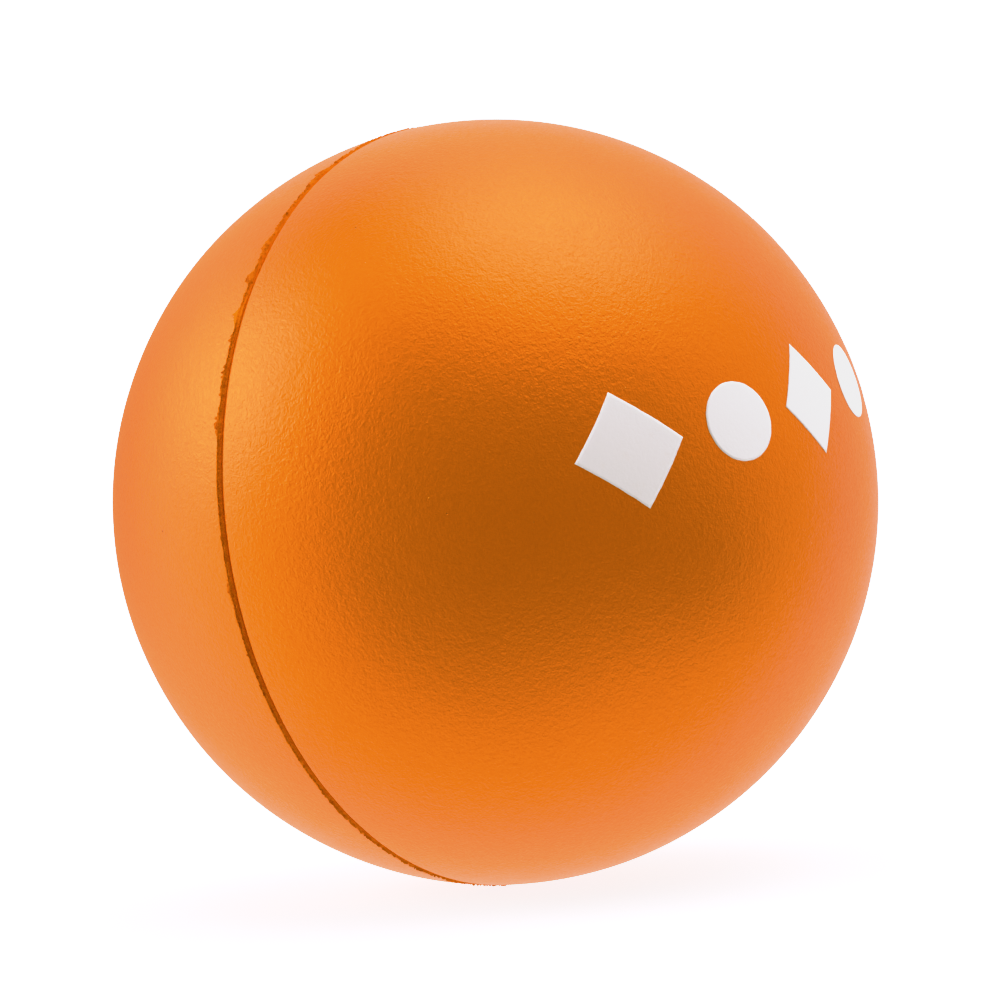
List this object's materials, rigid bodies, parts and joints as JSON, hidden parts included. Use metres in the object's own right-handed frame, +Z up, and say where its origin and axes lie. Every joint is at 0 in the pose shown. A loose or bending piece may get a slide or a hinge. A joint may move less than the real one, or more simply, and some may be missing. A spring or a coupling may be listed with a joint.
{
  "type": "stress ball",
  "caption": "Soft foam ball for squeezing in the hand, with a colour coat, a raised parting line round its middle and a printed row of plain shapes on one half.",
  "frame": {"origin": "centre of the ball", "axes": "+X is the axis of the two-part mould, square to the parting plane, and points out of the middle of the printed half; +Z is up"},
  "size_m": [0.0701, 0.0702, 0.0702],
  "materials": {
    "open_cell_foam": "matte",
    "dense_foam_skin": "matte",
    "colour_coat": "satin",
    "trimmed_flash": "matte",
    "print_ink": "satin"
  },
  "bodies": {
    "core": {"foam_core": "open_cell_foam", "parting_flash": "trimmed_flash"},
    "right_half": {"skin_right": "dense_foam_skin", "coat_right": "colour_coat", "printed_mark": "print_ink"},
    "left_half": {"skin_left": "dense_foam_skin", "coat_left": "colour_coat"}
  },
  "joints": [
    {"name": "squeeze", "type": "slide", "parent": "core", "child": "right_half", "axis": [-1, 0, 0], "range_m": [0, 0.0125], "stiffness_N_per_m": 5000, "deforming": ["foam_core", "skin_right", "coat_right", "printed_mark"]},
    {"name": "squeeze_left", "type": "slide", "parent": "core", "child": "left_half", "axis": [1, 0, 0], "range_m": [0, 0.0125], "stiffness_N_per_m": 5000, "deforming": ["skin_left", "coat_left"]}
  ],
  "couplings": [
    {"joint": "squeeze_left", "follows": "squeeze", "ratio": 1}
  ]
}
